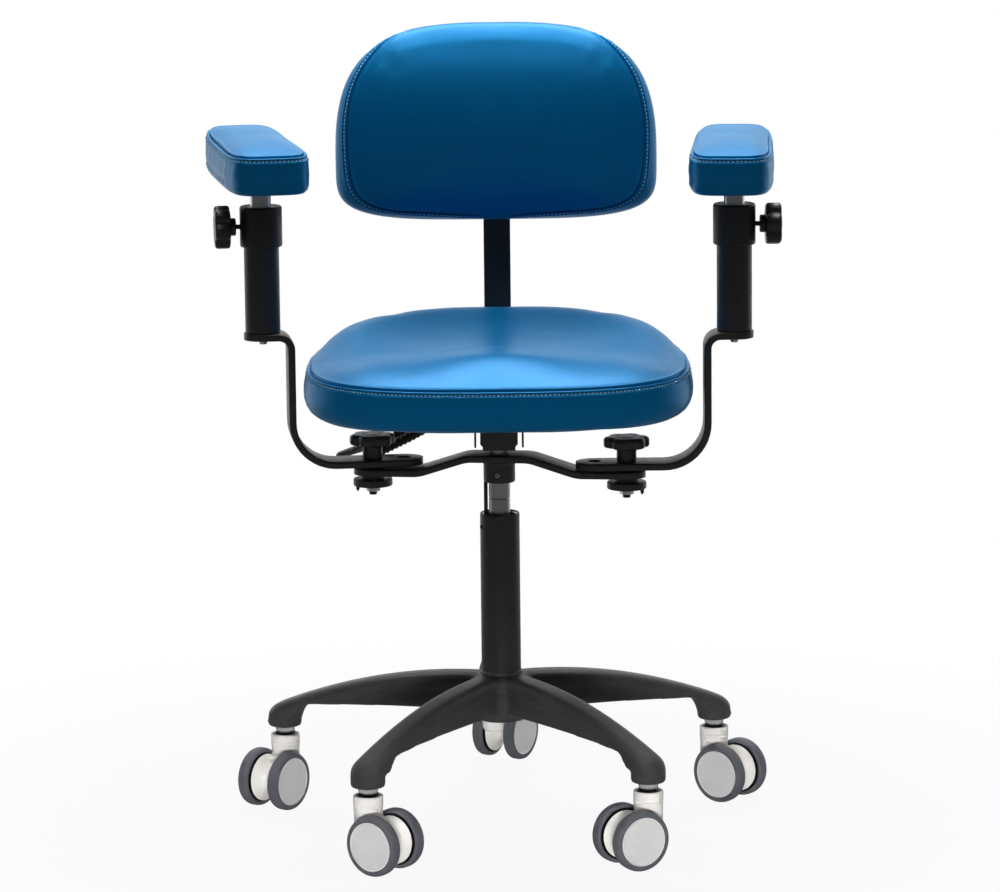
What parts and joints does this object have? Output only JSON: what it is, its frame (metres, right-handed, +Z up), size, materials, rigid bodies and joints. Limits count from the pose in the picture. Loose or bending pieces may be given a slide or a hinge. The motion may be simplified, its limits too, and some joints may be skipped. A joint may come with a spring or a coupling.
{
  "type": "laboratory chair",
  "caption": "Castored swivel chair with a gas-lift column, tilting saddle seat, adjustable back, and swinging armrests with height-adjustable pads.",
  "frame": {"origin": "on the floor, in the middle of the chair's outline box", "axes": "+Z up; the sitter faces -Y; +X is on the sitter's left, the right of the picture"},
  "size_m": [0.7157, 0.661, 0.9941],
  "materials": {
    "blue_vinyl": "smooth satin upholstery vinyl",
    "black_paint": "satin black powder coat",
    "black_nylon": "satin black moulded nylon",
    "black_plastic": "semi-gloss black moulding",
    "black_rubber": "ribbed black grip",
    "white_plastic": "off-white moulding",
    "grey_tyre": "matt blue-grey tread round a grey disc",
    "bright_steel": "bright plated steel",
    "grey_steel": "grey drawn steel",
    "dark_steel": "blackened steel screw",
    "plywood": "plain plywood"
  },
  "bodies": {
    "base": {"base_star": "black_nylon", "column_tube": "black_paint", "column_bush": "white_plastic", "thrust_bearing": "bright_steel", "caster_1_stem": "bright_steel", "caster_2_stem": "bright_steel", "caster_3_stem": "bright_steel", "caster_4_stem": "bright_steel", "caster_5_stem": "bright_steel"},
    "piston": {"piston_rod": "bright_steel"},
    "upper": {"gas_cylinder": "grey_steel", "armrest_beam": "black_paint", "collar_set_screw": "dark_steel", "travel_limit_rod": "black_paint", "mechanism_housing": "black_paint", "seat_pivot_pin": "bright_steel", "back_pivot_pin": "bright_steel", "left_clamp_disc": "black_paint", "left_clamp_nut": "bright_steel", "right_clamp_disc": "black_paint", "right_clamp_nut": "bright_steel"},
    "seat": {"seat_bracket": "black_paint", "seat_board": "plywood", "seat_cushion": "blue_vinyl"},
    "height_lever": {"height_lever": "black_rubber"},
    "tilt_lever": {"tilt_lever": "black_rubber"},
    "back_arm": {"back_upright": "black_paint"},
    "back": {"back_bracket": "black_paint", "back_shell": "black_plastic", "back_cushion": "blue_vinyl"},
    "back_knob": {"back_knob": "black_plastic"},
    "left_arm": {"left_arm_bar": "black_paint", "left_arm_post": "black_paint"},
    "left_bush": {"left_post_bush": "white_plastic"},
    "left_pad": {"left_arm_stem": "bright_steel", "left_arm_pad": "blue_vinyl"},
    "left_arm_knob": {"left_arm_knob": "black_plastic"},
    "left_clamp_knob": {"left_clamp_knob": "black_plastic"},
    "right_arm": {"right_arm_bar": "black_paint", "right_arm_post": "black_paint"},
    "right_bush": {"right_post_bush": "white_plastic"},
    "right_pad": {"right_arm_stem": "bright_steel", "right_arm_pad": "blue_vinyl"},
    "right_arm_knob": {"right_arm_knob": "black_plastic"},
    "right_clamp_knob": {"right_clamp_knob": "black_plastic"},
    "caster_1_fork": {"caster_1_fork": "white_plastic"},
    "caster_1_left_wheel": {"caster_1_left_wheel": "grey_tyre"},
    "caster_1_right_wheel": {"caster_1_right_wheel": "grey_tyre"},
    "caster_2_fork": {"caster_2_fork": "white_plastic"},
    "caster_2_left_wheel": {"caster_2_left_wheel": "grey_tyre"},
    "caster_2_right_wheel": {"caster_2_right_wheel": "grey_tyre"},
    "caster_3_fork": {"caster_3_fork": "white_plastic"},
    "caster_3_left_wheel": {"caster_3_left_wheel": "grey_tyre"},
    "caster_3_right_wheel": {"caster_3_right_wheel": "grey_tyre"},
    "caster_4_fork": {"caster_4_fork": "white_plastic"},
    "caster_4_left_wheel": {"caster_4_left_wheel": "grey_tyre"},
    "caster_4_right_wheel": {"caster_4_right_wheel": "grey_tyre"},
    "caster_5_fork": {"caster_5_fork": "white_plastic"},
    "caster_5_left_wheel": {"caster_5_left_wheel": "grey_tyre"},
    "caster_5_right_wheel": {"caster_5_right_wheel": "grey_tyre"}
  },
  "joints": [
    {"name": "seat_swivel", "type": "hinge", "parent": "base", "child": "piston", "pos_m": [0.0036, -0.0292, 0.13844], "axis": [0, 0, 1], "continuous": true},
    {"name": "seat_height", "type": "slide", "parent": "piston", "child": "upper", "axis": [0, 0, 1], "range_m": [-0.036, 0.09]},
    {"name": "seat_tilt", "type": "hinge", "parent": "upper", "child": "seat", "pos_m": [0.0036, -0.0012, 0.50264], "axis": [1, 0, 0], "range_deg": [-4, 4]},
    {"name": "back_tilt", "type": "hinge", "parent": "upper", "child": "back_arm", "pos_m": [0.0036, 0.0738, 0.50264], "axis": [-1, 0, 0], "range_deg": [-4, 15]},
    {"name": "back_height", "type": "slide", "parent": "back_arm", "child": "back", "axis": [0, 0, 1], "range_m": [-0.03, 0.06]},
    {"name": "height_lever_pull", "type": "hinge", "parent": "upper", "child": "height_lever", "pos_m": [-0.0199, 0.0368, 0.49984], "axis": [0, 1, 0], "range_deg": [0, 6], "stiffness_Nm_per_rad": 8},
    {"name": "tilt_lever_pull", "type": "hinge", "parent": "upper", "child": "tilt_lever", "pos_m": [-0.0199, 0.0628, 0.49984], "axis": [0, 1, 0], "range_deg": [0, 6], "stiffness_Nm_per_rad": 8},
    {"name": "left_arm_swing", "type": "hinge", "parent": "upper", "child": "left_arm", "pos_m": [-0.1562, -0.00958, 0.45424], "axis": [0, 0, 1], "range_deg": [-12, 6]},
    {"name": "left_pad_turn", "type": "hinge", "parent": "left_arm", "child": "left_bush", "pos_m": [-0.29069, -0.02609, 0.78694], "axis": [0, 0, 1], "range_deg": [-20, 20]},
    {"name": "left_arm_height", "type": "slide", "parent": "left_bush", "child": "left_pad", "axis": [0, 0, 1], "range_m": [-0.02, 0.06]},
    {"name": "left_arm_knob_turn", "type": "hinge", "parent": "left_arm", "child": "left_arm_knob", "pos_m": [-0.29069, -0.02609, 0.76144], "axis": [-0.9925, -0.1219, 0], "continuous": true},
    {"name": "left_clamp_knob_turn", "type": "hinge", "parent": "left_arm", "child": "left_clamp_knob", "pos_m": [-0.1562, -0.00958, 0.46354], "axis": [0, 0, 1], "continuous": true},
    {"name": "right_arm_swing", "type": "hinge", "parent": "upper", "child": "right_arm", "pos_m": [0.1634, -0.04882, 0.45424], "axis": [0, 0, 1], "range_deg": [-12, 12]},
    {"name": "right_pad_turn", "type": "hinge", "parent": "right_arm", "child": "right_bush", "pos_m": [0.2989, -0.04882, 0.78694], "axis": [0, 0, 1], "range_deg": [-20, 20]},
    {"name": "right_arm_height", "type": "slide", "parent": "right_bush", "child": "right_pad", "axis": [0, 0, 1], "range_m": [-0.017, 0.063]},
    {"name": "right_arm_knob_turn", "type": "hinge", "parent": "right_arm", "child": "right_arm_knob", "pos_m": [0.2989, -0.04882, 0.76144], "axis": [1, 0, 0], "continuous": true},
    {"name": "right_clamp_knob_turn", "type": "hinge", "parent": "right_arm", "child": "right_clamp_knob", "pos_m": [0.1634, -0.04882, 0.46354], "axis": [0, 0, 1], "continuous": true},
    {"name": "back_knob_turn", "type": "hinge", "parent": "back", "child": "back_knob", "pos_m": [0.0036, -0.0292, 0.84614], "axis": [0, 1, 0], "continuous": true},
    {"name": "caster_1_swivel", "type": "hinge", "parent": "base", "child": "caster_1_fork", "pos_m": [-0.27618, 0.05261, 0.09254], "axis": [0, 0, 1], "continuous": true},
    {"name": "caster_2_swivel", "type": "hinge", "parent": "base", "child": "caster_2_fork", "pos_m": [-0.16067, -0.27001, 0.09254], "axis": [0, 0, 1], "continuous": true},
    {"name": "caster_3_swivel", "type": "hinge", "parent": "base", "child": "caster_3_fork", "pos_m": [0.18186, -0.25984, 0.09254], "axis": [0, 0, 1], "continuous": true},
    {"name": "caster_4_swivel", "type": "hinge", "parent": "base", "child": "caster_4_fork", "pos_m": [0.27804, 0.06906, 0.09254], "axis": [0, 0, 1], "continuous": true},
    {"name": "caster_5_swivel", "type": "hinge", "parent": "base", "child": "caster_5_fork", "pos_m": [-0.00505, 0.26217, 0.09254], "axis": [0, 0, 1], "continuous": true},
    {"name": "caster_1_left_wheel_roll", "type": "hinge", "parent": "caster_1_fork", "child": "caster_1_left_wheel", "pos_m": [-0.27164, 0.01769, 0.03704], "axis": [0.8192, -0.5736, 0], "continuous": true},
    {"name": "caster_1_right_wheel_roll", "type": "hinge", "parent": "caster_1_fork", "child": "caster_1_right_wheel", "pos_m": [-0.31055, 0.04494, 0.03704], "axis": [0.8192, -0.5736, 0], "continuous": true},
    {"name": "caster_2_left_wheel_roll", "type": "hinge", "parent": "caster_2_fork", "child": "caster_2_left_wheel", "pos_m": [-0.12561, -0.26669, 0.03704], "axis": [0.6018, 0.7986, 0], "continuous": true},
    {"name": "caster_2_right_wheel_roll", "type": "hinge", "parent": "caster_2_fork", "child": "caster_2_right_wheel", "pos_m": [-0.1542, -0.30462, 0.03704], "axis": [0.6018, 0.7986, 0], "continuous": true},
    {"name": "caster_3_left_wheel_roll", "type": "hinge", "parent": "caster_3_fork", "child": "caster_3_left_wheel", "pos_m": [0.17122, -0.29341, 0.03704], "axis": [0.5, -0.866, 0], "continuous": true},
    {"name": "caster_3_right_wheel_roll", "type": "hinge", "parent": "caster_3_fork", "child": "caster_3_right_wheel", "pos_m": [0.14747, -0.25227, 0.03704], "axis": [0.5, -0.866, 0], "continuous": true},
    {"name": "caster_4_left_wheel_roll", "type": "hinge", "parent": "caster_4_fork", "child": "caster_4_left_wheel", "pos_m": [0.31319, 0.07116, 0.03704], "axis": [0.6293, 0.7771, 0], "continuous": true},
    {"name": "caster_4_right_wheel_roll", "type": "hinge", "parent": "caster_4_fork", "child": "caster_4_right_wheel", "pos_m": [0.2833, 0.03424, 0.03704], "axis": [0.6293, 0.7771, 0], "continuous": true},
    {"name": "caster_5_left_wheel_roll", "type": "hinge", "parent": "caster_5_fork", "child": "caster_5_left_wheel", "pos_m": [-0.01262, 0.29656, 0.03704], "axis": [-0.866, 0.5, 0], "continuous": true},
    {"name": "caster_5_right_wheel_roll", "type": "hinge", "parent": "caster_5_fork", "child": "caster_5_right_wheel", "pos_m": [0.02852, 0.27281, 0.03704], "axis": [-0.866, 0.5, 0], "continuous": true}
  ]
}
